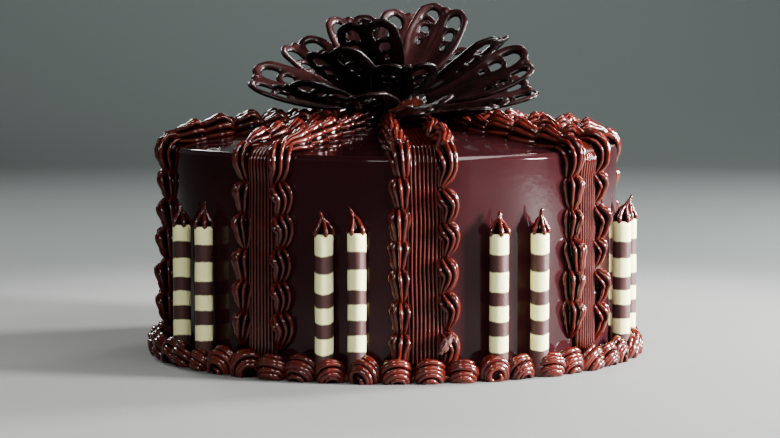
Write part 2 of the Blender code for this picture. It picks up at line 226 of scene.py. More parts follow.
# Camera and light
CAMERA_DISTANCE = 1.111
CAMERA_HEIGHT = 0.1555
CAMERA_PITCH = 4.69         # degrees below level
CAMERA_YAW = 0.115
CAMERA_LENS = 103.3
DAYLIGHT = (1.0, 0.985, 0.97)
LIGHTS = (                  # name, place, power in watts, size, colour
    ("window", (1.33, -0.38, 0.34), 150, (0.26, 0.32), DAYLIGHT),
    ("rear_window", (1.22, 0.52, 0.40), 98, (0.3, 0.3), DAYLIGHT),
    ("back", (-0.62, 1.12, 0.78), 9, (0.35, 0.3), DAYLIGHT),
    ("rear_top", (0.50, 1.15, 0.95), 8, (0.4, 0.12), DAYLIGHT),
    ("front", (-0.15, -1.25, 0.75), 7.5, (0.3, 0.2), DAYLIGHT),
    ("front_strip", (0.95, -0.66, 1.08), 21.0, (1.3, 0.22), DAYLIGHT),
    ("left_strip", (-1.15, 0.35, 1.15), 1.0, (0.6, 0.06), (0.97, 0.985, 1.0)),
    ("side_panel", (0.78, -0.50, 0.24), 0.7, (0.75, 0.48), (1.0, 0.98, 0.98)),
    ("fill", (-0.9, -1.1, 0.55), 0.6, (0.9, 0.9), (0.95, 0.98, 1.0)),
)
LIGHTS_AIM = Vector((0, 0, 0.09))
AMBIENT = ((0.40, 0.46, 0.455, 1), 0.14)
FLOOR_PALE = (0.20, 0.206, 0.203, 1)
FLOOR_GREY = (0.066, 0.081, 0.079, 1)
FLOOR_STEPS = 96
FLOOR_EDGE = 1.6            # where it sweeps up
FLOOR_SWEEP = 0.6


# ---------------------------------------------------------------- small tools

def on_cake(radius, angle, height):
    """Point at a distance from the axis, an angle in radians and a height."""
    return Vector((radius * sin(angle), -radius * cos(angle), height))


def ease(value):
    value = min(max(value, 0), 1)
    return value * value * (3 - 2 * value)


def stretched(way, sizes):
    return Vector(value * size for value, size in zip(way, sizes))


def blend(table, place):
    """Value at a place from (place, value) pairs, smooth between them."""
    for (low, first), (high, last) in zip(table, table[1:]):
        if place <= high:
            return first + (last - first) * ease((place - low) / (high - low))
    return table[-1][1]


def add_object(name, mesh, material=None):
    piece = bpy.data.objects.new(name, mesh)
    bpy.context.scene.collection.objects.link(piece)
    if material:
        mesh.materials.clear()
        mesh.materials.append(material)
    return piece


def mesh_from(name, shape):
    """Plain smooth mesh from a bmesh, with its faces pointing out."""
    bmesh.ops.recalc_face_normals(shape, faces=shape.faces[:])
    mesh = bpy.data.meshes.new(name)
    shape.to_mesh(mesh)
    shape.free()
    mesh.shade_smooth()
    return mesh


def settled(item):
    """Plain mesh of an object as its modifiers leave it; the object is removed."""
    mesh = bpy.data.meshes.new_from_object(item.evaluated_get(bpy.context.evaluated_depsgraph_get()))
    bpy.data.objects.remove(item, do_unlink=True)
    return mesh


def piping_shape():
    """Empty shape whose points carry their share of painted shade, for the grooves and hollows of piping."""
    shape = bmesh.new()
    shape.verts.layers.float.new("groove")
    return shape


def join_loops(shape, low, high):
    """Ring of faces between two loops of equal count."""
    faces = []
    for index in range(len(low)):
        after = (index + 1) % len(low)
        faces.append(shape.faces.new((low[index], low[after], high[after], high[index])))
    return faces


def skin(shape, rings, closed=False, groove=None):
    """Faces through rings of equal count, with end caps unless the rings close a loop.

    The last argument gives each place round a ring its share of painted shade, where piping has one.
    """
    loops = [[shape.verts.new(point) for point in ring] for ring in rings]
    layer = shape.verts.layers.float.get("groove")
    if layer and groove:
        for loop in loops:
            for vertex, value in zip(loop, groove):
                vertex[layer] = value
    pairs = list(zip(loops, loops[1:]))
    if closed:
        pairs.append((loops[-1], loops[0]))
    faces = [face for low, high in pairs for face in join_loops(shape, low, high)]
    if not closed:
        faces.append(shape.faces.new(list(reversed(loops[0]))))
        faces.append(shape.faces.new(loops[-1]))
    return faces


def oval(centre, first, reach, second, width, sides):
    """Points round a centre, with a half size along each of two directions."""
    turns = [TAU * side / sides for side in range(sides)]
    return [centre + first * (reach * sin(turn)) + second * (width * cos(turn)) for turn in turns]


def strand(shape, centres, radii, outwards, deep, dark=1.0):
    """Piped strand along a line of centres: its section is deep times as deep as it is wide."""
    rings = []
    for index, (centre, radius, outward) in enumerate(zip(centres, radii, outwards)):
        ahead = centres[min(index + 1, len(centres) - 1)] - centres[max(index - 1, 0)]
        along = ahead.normalized()
        up = (outward - along * outward.dot(along)).normalized()
        rings.append(oval(centre, up, radius * deep, along.cross(up), radius, STRAND_SIDES))
    # Painted shade: the side of the strand away from its outward direction is darkened, up to the share
    # dark.
    groove = [dark - dark * ease((sin(TAU * side / STRAND_SIDES) - 0.15) / 0.7)
              for side in range(STRAND_SIDES)]
    return skin(shape, rings, groove=groove)


def star_piping(shape, axis, halves, above, angles, thick, deep, core, steps, twist, draw):
    """Ridges that a star nozzle leaves round an axis, and the core between them.

    axis and halves are functions of a share from 0 to 1 that give a centre, and half the
    width with the height. Angles are degrees from the direction above.
    """
    shares = [step / (steps - 1) for step in range(steps)]
    frames = []
    for share in shares:
        along = (axis(min(share + 0.01, 1)) - axis(max(share - 0.01, 0))).normalized()
        up = (above - along * above.dot(along)).normalized()
        frames.append((axis(share), up.cross(along), up, *halves(share)))
    most = max(min(frame[3:]) for frame in frames)
    faces = []
    for angle in angles:
        angle += draw.uniform(-5, 5)
        swell = draw.uniform(0.9, 1.1)
        waver = draw.uniform(0, TAU)
        centres, radii, outwards = [], [], []
        for share, (centre, across, up, wide, high) in zip(shares, frames):
            turn = radians(angle + twist * (share - 0.4))
            grow_by = min(wide, high) / most
            radius = thick * swell * (0.4 + 0.6 * grow_by) * (1 + FIN_LUMPS * sin(9 * share + waver))
            inner = radius * deep
            centres.append(centre + across * sin(turn) * max(wide - inner, 0.1 * wide)
                           + up * cos(turn) * max(high - inner, 0.1 * high))
            radii.append(radius)
            outwards.append(across * sin(turn) + up * cos(turn))
        radii[0] *= FIN_ENDS[0]
        radii[-1] *= FIN_ENDS[1]
        faces += strand(shape, centres, radii, outwards, deep)
    # The core between the fins is painted fully dark as shade.
    rings = [oval(centre, across, core * wide, up, core * high, CORE_SIDES)
             for centre, across, up, wide, high in frames]
    return faces + skin(shape, rings, groove=[1] * CORE_SIDES)


def pushed_ball(name, detail, place):
    """Closed form from a ball: place turns each direction from its middle into a point."""
    shape = bmesh.new()
    bmesh.ops.create_icosphere(shape, subdivisions=detail, radius=1)
    for vertex in shape.verts:
        vertex.co = place(vertex.co.copy())
    return mesh_from(name, shape)


def join_meshes(name, meshes, *materials):
    """One piece from meshes; the last one takes the last of the materials, the rest the first."""
    shape = bmesh.new()
    for mesh in meshes:
        before = len(shape.faces)
        shape.from_mesh(mesh)
    for index, face in enumerate(shape.faces):
        face.material_index = len(materials) - 1 if index >= before else 0
    mesh = bpy.data.meshes.new(name)
    shape.to_mesh(mesh)
    shape.free()
    for material in materials:
        mesh.materials.append(material)
    return add_object(name, mesh)


# ---------------------------------------------------------------- node building

def feed(tree, node, links):
    """Sets a node's inputs from sockets, from other nodes' first outputs or from plain values."""
    for key, value in links.items():
        if isinstance(value, bpy.types.Node):
            value = value.outputs[0]
        if isinstance(value, bpy.types.NodeSocket):
            tree.links.new(value, node.inputs[key])
        else:
            node.inputs[key].default_value = value
    return node


def add_node(tree, kind, links=None, **settings):
    """Node with its properties set and its inputs fed."""
    node = tree.nodes.new(kind)
    for key, value in settings.items():
        setattr(node, key, value)
    return feed(tree, node, links or {})


def calc(tree, operation, *values):
    return add_node(tree, "ShaderNodeMath", dict(enumerate(values)), operation=operation)


def scaled(tree, vector, factor):
    return add_node(tree, "ShaderNodeVectorMath", {0: vector, "Scale": factor}, operation="SCALE")


def soft_noise(tree, place, scale, detail):
    return add_node(tree, "ShaderNodeTexNoise", {"Vector": place, "Scale": scale, "Detail": detail})


def rescale(tree, value, low, high, start, end, **settings):
    """Takes a value from the range low to high into the range start to end."""
    return add_node(tree, "ShaderNodeMapRange", {
        "Value": value, "From Min": low, "From Max": high, "To Min": start, "To Max": end}, **settings)


def attribute(tree, name, kind="FLOAT"):
    return add_node(tree, "GeometryNodeInputNamedAttribute", {"Name": name}, data_type=kind)


def new_group(name, kind, inputs, outputs):
    """Node group with named sockets, its source's outputs and its result's inputs.

    Each input is a name, a socket type and a default; each output is a name and a type.
    """
    group = bpy.data.node_groups.new(name, kind)
    for label, socket, value in inputs:
        made = group.interface.new_socket(label, in_out="INPUT", socket_type=socket)
        if value is not None:
            made.default_value = value
    for label, socket in outputs:
        group.interface.new_socket(label, in_out="OUTPUT", socket_type=socket)
    return group, group.nodes.new("NodeGroupInput").outputs, group.nodes.new("NodeGroupOutput").inputs


def geometry_tree(name, inputs, output):
    """Geometry Nodes tree that also takes the finish of what it makes."""
    inputs.append(("Finish", "NodeSocketMaterial", None))
    return new_group(name, "GeometryNodeTree", inputs, [(output, "NodeSocketGeometry")])


def end_tree(tree, source, result, made):
    """Last nodes of a Geometry Nodes tree: what is made becomes real and takes its finish."""
    real = add_node(tree, "GeometryNodeRealizeInstances", {"Geometry": made})
    finish = add_node(tree, "GeometryNodeSetMaterial", {"Geometry": real, "Material": source["Finish"]})
    tree.links.new(finish.outputs[0], result[0])
    return tree


def grow(tree, carrier, values):
    """Plain mesh that a Geometry Nodes tree makes on a carrier object, which is removed."""
    modifier = carrier.modifiers.new("Grow", "NODES")
    modifier.node_group = tree
    sockets = {item.name: item.identifier for item in tree.interface.items_tree
               if item.in_out == "INPUT"}
    for label, value in values.items():
        modifier[sockets[label]] = value
    return settled(carrier)


def tree_piped_row():
    """Shells set on places, turned to their surface and heading, each a little its own way."""
    tree, source, result = geometry_tree("piped_row", [
        ("Places", "NodeSocketGeometry", None), ("Shells", "NodeSocketCollection", None),
        ("Tilt", "NodeSocketFloat", 0.1), ("Uneven", "NodeSocketFloat", 0.08),
        ("Seed", "NodeSocketInt", 1)], "Piping")
    facing = add_node(tree, "FunctionNodeAxesToRotation", {
        "Primary Axis": attribute(tree, "heading", "FLOAT_VECTOR"),
        "Secondary Axis": attribute(tree, "outward", "FLOAT_VECTOR")},
        primary_axis="X", secondary_axis="Z")
    least = calc(tree, "MULTIPLY", source["Tilt"], -1.0)
    low, high = [add_node(tree, "ShaderNodeCombineXYZ", {"X": tilt, "Y": tilt, "Z": tilt})
                 for tilt in (least, source["Tilt"])]
    sway = add_node(tree, "FunctionNodeRandomValue", {
        0: low, 1: high, "Seed": source["Seed"]}, data_type="FLOAT_VECTOR")
    turn = add_node(tree, "FunctionNodeEulerToRotation", {"Euler": sway})
    rotation = add_node(tree, "FunctionNodeRotateRotation", {
        "Rotation": facing, "Rotate By": turn}, rotation_space="LOCAL")
    size = add_node(tree, "FunctionNodeRandomValue", {
        2: calc(tree, "SUBTRACT", 1.0, source["Uneven"]), 3: calc(tree, "ADD", 1.0, source["Uneven"]),
        "Seed": source["Seed"]}, data_type="FLOAT")
    scale = calc(tree, "MULTIPLY", size.outputs[1], attribute(tree, "growth"))
    shells = add_node(tree, "GeometryNodeCollectionInfo", {
        "Collection": source["Shells"], "Separate Children": True, "Reset Children": True})
    pick = add_node(tree, "FunctionNodeRandomValue", {
        4: 0, 5: 20, "Seed": source["Seed"]}, data_type="INT")
    placed = add_node(tree, "GeometryNodeInstanceOnPoints", {
        "Points": source["Places"], "Instance": shells, "Pick Instance": True,
        "Instance Index": pick.outputs[2], "Rotation": rotation, "Scale": scale})
    return end_tree(tree, source, result, placed)


def tree_ribbed_band():
    """Ribs raised on a strip that carries its own across and along places, with shade painted between the
    ribs.
    """
    tree, source, result = geometry_tree("ribbed_band", [
        ("Strip", "NodeSocketGeometry", None), ("Ribs", "NodeSocketFloat", float(RIB_COUNT)),
        ("Depth", "NodeSocketFloat", RIB_DEPTH), ("Waver", "NodeSocketFloat", 0.35)], "Band")
    across = attribute(tree, "across")
    place = add_node(tree, "ShaderNodeCombineXYZ", {"X": across, "Y": attribute(tree, "along")})
    stretch = add_node(tree, "ShaderNodeVectorMath", {0: place, 1: (1.6, 38.0, 0.0)},
                       operation="MULTIPLY")
    centred = calc(tree, "ADD", soft_noise(tree, stretch, 1.0, 1.0), -0.5)
    shift = calc(tree, "MULTIPLY", centred, source["Waver"])
    count = calc(tree, "MULTIPLY_ADD", across, source["Ribs"], shift)
    wave = calc(tree, "SINE", calc(tree, "MULTIPLY", count, pi))
    rounded = calc(tree, "POWER", calc(tree, "ABSOLUTE", wave), 0.8)
    raised = scaled(tree, attribute(tree, "outward", "FLOAT_VECTOR"),
                    calc(tree, "MULTIPLY", rounded, source["Depth"]))
    moved = add_node(tree, "GeometryNodeSetPosition", {"Geometry": source["Strip"], "Offset": raised})
    # Painted shade: colour darkened between the ribs, where the strip is low.
    rib_shade_painted = add_node(tree, "GeometryNodeStoreNamedAttribute", {
        "Geometry": moved, "Name": "groove", "Value": rescale(tree, rounded, 0.5, 0.95, 1.0, 0.0)},
        data_type="FLOAT", domain="POINT")
    return end_tree(tree, source, result, rib_shade_painted)


def tree_petal_lattice():
    """Strands piped along lines, cut flat at the back and laid on a web."""
    tree, source, result = geometry_tree("petal_lattice", [
        ("Lines", "NodeSocketGeometry", None), ("Web", "NodeSocketObject", None),
        ("Flat", "NodeSocketFloat", STRAND_FLAT)], "Petal")
    curve = add_node(tree, "GeometryNodeMeshToCurve", {"Mesh": source["Lines"]})
    section = add_node(tree, "GeometryNodeCurvePrimitiveCircle", {"Resolution": 14, "Radius": 1.0})
    tube = add_node(tree, "GeometryNodeCurveToMesh", {
        "Curve": curve, "Profile Curve": section, "Scale": attribute(tree, "thick"),
        "Fill Caps": True})
    place = add_node(tree, "GeometryNodeInputPosition")
    split = add_node(tree, "ShaderNodeSeparateXYZ", {"Vector": place})
    back = calc(tree, "MULTIPLY", source["Flat"], -1.0)
    pressed = add_node(tree, "ShaderNodeCombineXYZ", {
        "X": split.outputs["X"], "Y": split.outputs["Y"],
        "Z": calc(tree, "MAXIMUM", split.outputs["Z"], back)})
    flat = add_node(tree, "GeometryNodeSetPosition", {"Geometry": tube, "Position": pressed})
    web = add_node(tree, "GeometryNodeObjectInfo", {"Object": source["Web"]})
    both = tree.nodes.new("GeometryNodeJoinGeometry")
    tree.links.new(flat.outputs["Geometry"], both.inputs["Geometry"])
    tree.links.new(web.outputs["Geometry"], both.inputs["Geometry"])
    return end_tree(tree, source, result, both)


def shader_group_tone():
    """Chocolate tone: two colours mixed by soft noise and dimmed by painted shade in grooves and on petal
    backs, and a fine relief.
    """
    group, source, result = new_group("cocoa_tone", "ShaderNodeTree", [
        ("Deep", "NodeSocketColor", (0.02, 0.006, 0.005, 1)),
        ("Warm", "NodeSocketColor", (0.06, 0.015, 0.01, 1)),
        ("Patch Scale", "NodeSocketFloat", 60.0), ("Grain Scale", "NodeSocketFloat", 900.0),
        ("Painted Shade Share", "NodeSocketFloat", 0.0),
    ], [("Color", "NodeSocketColor"), ("Relief", "NodeSocketFloat")])
    place = add_node(group, "ShaderNodeTexCoord").outputs["Object"]
    patch = soft_noise(group, place, source["Patch Scale"], 3.0)
    mix = add_node(group, "ShaderNodeMix", {
        "Factor": rescale(group, patch, 0.35, 0.65, 0.0, 1.0), 6: source["Deep"], 7: source["Warm"]},
        data_type="RGBA")
    # Painted shade: the colour is dimmed by the stored share of shade.
    dimmed = scaled(group, mix.outputs[2], rescale(group, source["Painted Shade Share"], 0.0, 1.0, 1.0, PAINTED_SHADE_DIM))
    group.links.new(dimmed.outputs[0], result["Color"])
    group.links.new(soft_noise(group, place, source["Grain Scale"], 2.0).outputs[0], result["Relief"])
    return group


def new_material(name):
    material = bpy.data.materials.new(name)
    material.use_nodes = True
    return material, material.node_tree, material.node_tree.nodes["Principled BSDF"]


def chocolate(name, tone, deep, warm, roughness, bump, patch, grain, gloss, coat_thins_in_shade):
    """Material of a chocolate or ganache finish, from the shared tone group.

    Where the last flag is set, the gloss is a coat that thins out where shade is painted: in the grooves
    between fins and on petal backs.
    """
    material, tree, shader = new_material(name)
    # Share of painted shade stored on the mesh; it darkens the colour in the tone group.
    groove = add_node(tree, "ShaderNodeAttribute", attribute_name="groove").outputs["Fac"]
    cocoa = add_node(tree, "ShaderNodeGroup", {
        "Deep": (*deep, 1), "Warm": (*warm, 1), "Patch Scale": patch, "Grain Scale": grain,
        "Painted Shade Share": groove}, node_tree=tone)
    relief = add_node(tree, "ShaderNodeBump", {
        "Height": cocoa.outputs["Relief"], "Strength": bump, "Distance": 0.0004})
    feed(tree, shader, {
        "Base Color": cocoa, "Normal": relief, "Roughness": roughness, "IOR": CHOCOLATE_IOR,
        "Specular IOR Level": PAINTED_SHADE_GLOSS if coat_thins_in_shade else gloss})
    if coat_thins_in_shade:
        feed(tree, shader, {
            "Coat IOR": COAT_IOR, "Coat Roughness": roughness,
            "Coat Weight": rescale(tree, groove, 0.0, 1.0, gloss, PAINTED_SHADE_GLOSS)})
    return material


def striped_material(name):
    """White and milk chocolate bands that run round the stick, from its own UV map."""
    material, tree, shader = new_material(name)
    place = add_node(tree, "ShaderNodeTexCoord").outputs["Object"]
    uv = add_node(tree, "ShaderNodeUVMap", uv_map="round_and_up")
    split = add_node(tree, "ShaderNodeSeparateXYZ", {"Vector": uv})
    ragged = soft_noise(tree, place, 330.0, 3.0)
    ramp = add_node(tree, "ShaderNodeValToRGB", {
        "Fac": calc(tree, "MULTIPLY_ADD", ragged, 0.014, split.outputs["Y"])})
    stops = [(0, STRIPE_BROWN)]
    below, above = STRIPE_BROWN, STRIPE_CREAM
    for height in STRIPE_HEIGHTS:
        place_up = height * MM / STICK_HEIGHT
        stops += [(place_up - 0.004, below), (place_up + 0.004, above)]
        below, above = above, below
    for index, (position, colour) in enumerate(stops):
        stop = ramp.color_ramp.elements[index] if index < 2 else ramp.color_ramp.elements.new(position)
        stop.position = position
        stop.color = (*colour, 1)
    soft = soft_noise(tree, place, 900.0, 2.0)
    relief = add_node(tree, "ShaderNodeBump", {"Height": soft, "Strength": 0.25, "Distance": 0.0003})
    feed(tree, shader, {
        "Base Color": ramp, "Roughness": rescale(tree, soft, 0.0, 1.0, 0.36, 0.52), "Normal": relief,
        "IOR": 1.45, "Specular IOR Level": 0.32})
    return material


# ---------------------------------------------------------------- cake

def crown_height(radius):
    return RIM_HEIGHT + CROWN_RISE * (1 - (radius / CAKE_RADIUS) ** 2)


def rim_steps():
    """Turns and lengths of the rim's outline, from the crown to the side, with its nearly flat ring."""
    tilts = [82, 70, 58, 46, 36, 29, RIM_TILT + 2.2]
    steps = [(tilt, RIM_CURVE / len(tilts)) for tilt in tilts]
    steps += [(RIM_TILT + bend, RIM_BEVEL / 5) for bend in (1.4, 0.7, 0, -0.7, -1.4)]
    return steps + [(tilt, 0.12 * MM) for tilt in (RIM_TILT - 3, 12, 4)]


def cake_point(radius, turn, height):
    """Point of the glaze, pushed about a little as by hand."""
    point = on_cake(radius, turn, height)
    push = noise.noise(point * 22) * CAKE_UNEVEN
    if height > 2 * MM:
        point += Vector((point.x, point.y, 0)).normalized() * push
        point.z += noise.noise(point * 17 + Vector((3, 1, 2))) * 0.3 * MM * ease(height / RIM_HEIGHT)
    return point


def make_cake(material):
    """Poured cake: domed top, crisp rim, a side that is a little uneven by hand."""
    shoulder = CAKE_RADIUS - sum(length * sin(radians(tilt)) for tilt, length in rim_steps())
    profile = []
    for step in range(CROWN_STEPS + 1):
        radius = shoulder * step / CROWN_STEPS
        profile.append((radius, crown_height(radius)))
    for tilt, length in rim_steps():
        radius, height = profile[-1]
        slope = radians(tilt)
        profile.append((radius + length * sin(slope), height - length * cos(slope)))
    edge = profile[-1][1]
    profile += [(CAKE_RADIUS, edge - drop * MM) for drop in (0.15, 0.4, 1.2, 3)]
    profile += [(CAKE_RADIUS, edge * step / SIDE_STEPS) for step in range(SIDE_STEPS - 1, 0, -1)]
    profile += [(CAKE_RADIUS, 1.0 * MM), (CAKE_RADIUS - 1.0 * MM, 0), (0, 0)]
    shape = bmesh.new()
    top = shape.verts.new((0, 0, profile[0][1]))
    bottom = shape.verts.new((0, 0, profile[-1][1]))
    loops = [[shape.verts.new(cake_point(radius, TAU * step / CAKE_STEPS, height))
              for step in range(CAKE_STEPS)] for radius, height in profile[1:-1]]
    for index in range(CAKE_STEPS):
        after = (index + 1) % CAKE_STEPS
        shape.faces.new((top, loops[0][index], loops[0][after]))
        shape.faces.new((bottom, loops[-1][after], loops[-1][index]))
        for low, high in zip(loops, loops[1:]):
            shape.faces.new((low[index], high[index], high[after], low[after]))
    return add_object("cake_glazed", mesh_from("cake_glazed", shape), material)


# ---------------------------------------------------------------- piped shells

def ribbon_shell(name, seed, sway, zone):
    """Shell of the ribbons' edges: it lies on Z=0, its head at X=0 and its tail towards +X."""
    draw = random.Random(seed)
    shape = piping_shape()
    long = SHELL_LENGTH * draw.uniform(0.95, 1.06)
    wide = SHELL_WIDTH / 2 * draw.uniform(0.94, 1.05)
    high = SHELL_HEIGHT * draw.uniform(0.92, 1.06)
    bend = draw.uniform(-0.06, 0.06)
    angles, thick, deep, core = SHELL_FINS[zone]
    widths, heights = SHELL_FORMS[zone]
    star_piping(
        shape,
        lambda share: Vector((share * long, (blend(sway, share) + bend * share) * wide, 0)),
        lambda share: (wide * blend(widths, share), high * blend(heights, share)),
        UP, angles, thick * MM, deep, core, SHELL_STEPS, draw.uniform(-16, 24), draw)
    return mesh_from(name, shape)


def foot_swirl(name, seed):
    """Swirl of the base border: one strand wound over a mound, round a hollow at its front. The strand's
    inner side and the middle under it are painted dark as shade.

    It stands on Z=0, long side along X, and the hollow looks out and down towards -Y.
    """
    draw = random.Random(seed)
    shape = piping_shape()
    halves = Vector((SWIRL_HALF * draw.uniform(0.95, 1.06), SWIRL_DEPTH * draw.uniform(0.95, 1.05),
                     (SWIRL_HEIGHT - SWIRL_MIDDLE) * draw.uniform(0.93, 1.06)))
    middle = Vector((0, 0, SWIRL_MIDDLE))
    sideways = radians(draw.uniform(-34, 34))
    down = radians(draw.uniform(14, 58))
    hollow = on_cake(cos(down), sideways, -sin(down))
    across = hollow.cross(UP).normalized() * draw.choice((-1, 1))
    above = across.cross(hollow).normalized()
    begin = draw.uniform(16, 27)
    pitch = draw.uniform(18.5, 21.5)
    thick = SWIRL_STRAND * draw.uniform(0.93, 1.07)
    waver = draw.uniform(0, TAU)
    centres, radii, outwards = [], [], []
    for step in range(round((SWIRL_END - begin) / pitch * SWIRL_STEPS)):
        turn = TAU * step / SWIRL_STEPS + waver
        away = radians(begin + pitch * step / SWIRL_STEPS + 4 * sin(0.37 * turn + 2 * waver))
        round_it = across * cos(turn) + above * sin(turn)
        outward = hollow * cos(away) + round_it * sin(away)
        reach = stretched(outward, halves)
        centres.append(middle + reach * (1 - thick / reach.length))
        radii.append(thick * (0.4 + 0.6 * ease(step / 7)) * (1 + 0.17 * sin(0.41 * turn + waver)))
        outwards.append(Vector(value / size for value, size in zip(outward, halves)).normalized())
    strand(shape, centres, radii, outwards, 1.15, SWIRL_PAINTED_SHADE)
    # The middle under the strand is painted fully dark as shade.
    rings = []
    for level in range(1, SWIRL_CORE_STEPS):
        turn = pi * level / SWIRL_CORE_STEPS
        wide, deep, high = SWIRL_CORE * halves.x, SWIRL_CORE * halves.y, SWIRL_CORE * halves.z
        angles = [TAU * side / SWIRL_CORE_SIDES for side in range(SWIRL_CORE_SIDES)]
        rings.append([middle + Vector((wide * cos(turn), deep * sin(turn) * cos(angle),
                                       high * sin(turn) * sin(angle))) for angle in angles])
    skin(shape, rings, groove=[1] * SWIRL_CORE_SIDES)
    return mesh_from(name, shape)


def shell_box(name, variants):
    """Collection of shell shapes for the rows to pick from, kept out of the scene."""
    box = bpy.data.collections.new(name)
    for index, mesh in enumerate(variants):
        box.objects.link(bpy.data.objects.new(f"{name}_{index}", mesh))
    return box


def empty_box(box):
    for item in list(box.objects):
        bpy.data.objects.remove(item, do_unlink=True)
    bpy.data.collections.remove(box)


def places_object(name, places):
    """Points where shells go, from (point, heading, size); the shells stand up on them."""
    points, headings, sizes = zip(*places)
    mesh = bpy.data.meshes.new(name)
    mesh.from_pydata(points, [], [])
    for label, values in (("outward", [UP] * len(points)), ("heading", headings)):
        mesh.attributes.new(label, "FLOAT_VECTOR", "POINT")
        mesh.attributes[label].data.foreach_set("vector", [value for item in values for value in item])
    mesh.attributes.new("growth", "FLOAT", "POINT")
    mesh.attributes["growth"].data.foreach_set("value", sizes)
    return add_object(name, mesh)


class RibbonPath:
    """Line down the cake from the crown, over the rounded edge, to a ribbon's foot."""

    def __init__(self, angle, lean, seed):
        self.angle = angle
        self.lean = lean
        self.seed = seed
        self.tilt = math.atan(2 * CROWN_RISE * (CAKE_RADIUS - 0.8 * RIBBON_ROUND) / CAKE_RADIUS ** 2)
        brink = CAKE_RADIUS - RIBBON_ROUND * (1 - sin(self.tilt))
        self.edge = crown_height(brink) - RIBBON_ROUND * cos(self.tilt)
        self.over = brink - RIBBON_START
        self.round = RIBBON_ROUND * (pi / 2 - self.tilt)
        self.length = self.over + self.round + self.edge - RIBBON_FOOT

    def at(self, along):
        """Distance from the axis, height, and the outward direction in that plane."""
        if along <= self.over:
            radius = RIBBON_START + along
            height = crown_height(radius)
            outward = Vector((2 * CROWN_RISE * radius / CAKE_RADIUS ** 2, 1)).normalized()
        elif along <= self.over + self.round:
            turn = self.tilt + (along - self.over) / RIBBON_ROUND
            outward = Vector((sin(turn), cos(turn)))
            radius = CAKE_RADIUS - RIBBON_ROUND + RIBBON_ROUND * outward.x
            height = self.edge + RIBBON_ROUND * outward.y
        else:
            radius, height = CAKE_RADIUS, self.edge - (along - self.over - self.round)
            outward = Vector((1, 0))
        swell = RIBBON_SWELL * math.exp(-((along - self.over - self.round / 2) / (1.1 * RIBBON_ROUND)) ** 2)
        return radius + swell * outward.x, height + swell * outward.y, outward

    def turn_at(self, along, aside, radius):
        """Angle round the cake, with the ribbon's lean and a slow wobble by hand."""
        wobble = noise.noise(Vector((along / 0.03, self.seed * 7.31, 0.5)))
        drift = self.lean * ease(along / self.length) + RIBBON_WOBBLE * wobble
        return radians(self.angle + drift) + math.asin(aside / radius)

    def point(self, along, aside, lift):
        radius, height, outward = self.at(along)
        turn = self.turn_at(along, aside, radius)
        lift *= 1 + CROWN_PLUMP * (1 - ease((along - self.over + 9 * MM) / (12 * MM)))
        return on_cake(radius + lift * outward.x, turn, height + lift * outward.y)

    def outward(self, along, aside):
        radius, _, outward = self.at(along)
        return on_cake(outward.x, self.turn_at(along, aside, radius), outward.y)

    def growth(self, along, least=SHELL_START):
        """Size of the piping, which starts at the least on the crown and grows on its way out."""
        return least + (1 - least) * min(along / (RIBBON_FULL - RIBBON_START), 1)


def row_heads(path, side, starts):
    """Places down the ribbon where one row's shells begin.

    Starts are the heads that are given; smaller shells go on up the crown from there.
    """
    draw = random.Random(31 * path.seed + side)
    alongs = list(starts)
    while alongs[-1] < path.length - 25 * MM:
        alongs.append(alongs[-1] + SHELL_PITCH * draw.uniform(0.92, 1.08))
    while alongs[0] > RIBBON_BEGIN:
        alongs.insert(0, alongs[0] - SHELL_PITCH * path.growth(alongs[0]) * draw.uniform(0.86, 0.96))
    return alongs


def row_places(path, side, alongs):
    """Places of one row's shells, laid out flat: X down the ribbon, Y across it, Z outwards."""
    draw = random.Random(97 * path.seed + side + len(alongs))
    places = []
    for along in alongs:
        aside = side * ROW_SPACING / 2 * path.growth(along, ROW_TAPER) + draw.uniform(-0.4, 0.4) * MM
        heading = Vector((1, draw.uniform(-0.07, 0.07), 0.03)).normalized()
        places.append(((along, aside, 0.1 * MM), heading, path.growth(along)))
    return places_object("row_places", places)


def lay_on(path, mesh):
    """Bends a flat row, made along X with its outside up, down the ribbon's path."""
    for vertex in mesh.vertices:
        vertex.co = path.point(*vertex.co)
        vertex.co.z = max(vertex.co.z, 0)
    return mesh


def band_strip(path):
    """Closed strip under the ribs, with its places across and along as attributes."""
    across_steps = RIB_COUNT * RIB_STEPS
    shape = bmesh.new()
    facing = shape.verts.layers.float_vector.new("outward")
    across_layer = shape.verts.layers.float.new("across")
    along_layer = shape.verts.layers.float.new("along")
    rows = []
    for row in range(BAND_STEPS + 1):
        along = RIBBON_BEGIN + (path.length - RIBBON_BEGIN) * row / BAND_STEPS
        half = BAND_WIDTH / 2 * path.growth(along, ROW_TAPER)
        growth = math.sqrt(path.growth(along))
        line = []
        for column in range(across_steps + 1):
            share = column / across_steps
            aside = (2 * share - 1) * half
            crown = BAND_LIFT * growth * (1 - (2 * share - 1) ** 6)
            vertex = shape.verts.new(path.point(along, aside, crown))
            edge = min(column, across_steps - column, 1)
            vertex[facing] = path.outward(along, aside) * growth * edge
            vertex[across_layer] = share
            vertex[along_layer] = along
            line.append(vertex)
        rows.append(line + [shape.verts.new(path.point(along, (1 - 2 * share) * half, -0.6 * MM))
                            for share in (0, 0.5, 1)])
    for low, high in zip(rows, rows[1:]):
        join_loops(shape, low, high)
    shape.faces.new(list(reversed(rows[0])))
    shape.faces.new(rows[-1])
    return add_object("band_strip", mesh_from("band_strip", shape))


def torn_point(way):
    """Point of the rough scrap where the glossy skin of the centre ribbon's last shell is torn."""
    angle = radians(TORN_ANGLE)
    rough = 1 + 0.42 * noise.noise(way * 2.3) + 0.34 * noise.noise(way * 6.1 + Vector((4, 0, 0)))
    local = Matrix.Rotation(radians(TORN_LEAN), 3, "Y") @ stretched(way, TORN_SIZE) * rough * MM
    return on_cake(CAKE_RADIUS + TORN_LIFT, angle, TORN_HEIGHT) + Matrix.Rotation(angle, 3, "Z") @ local


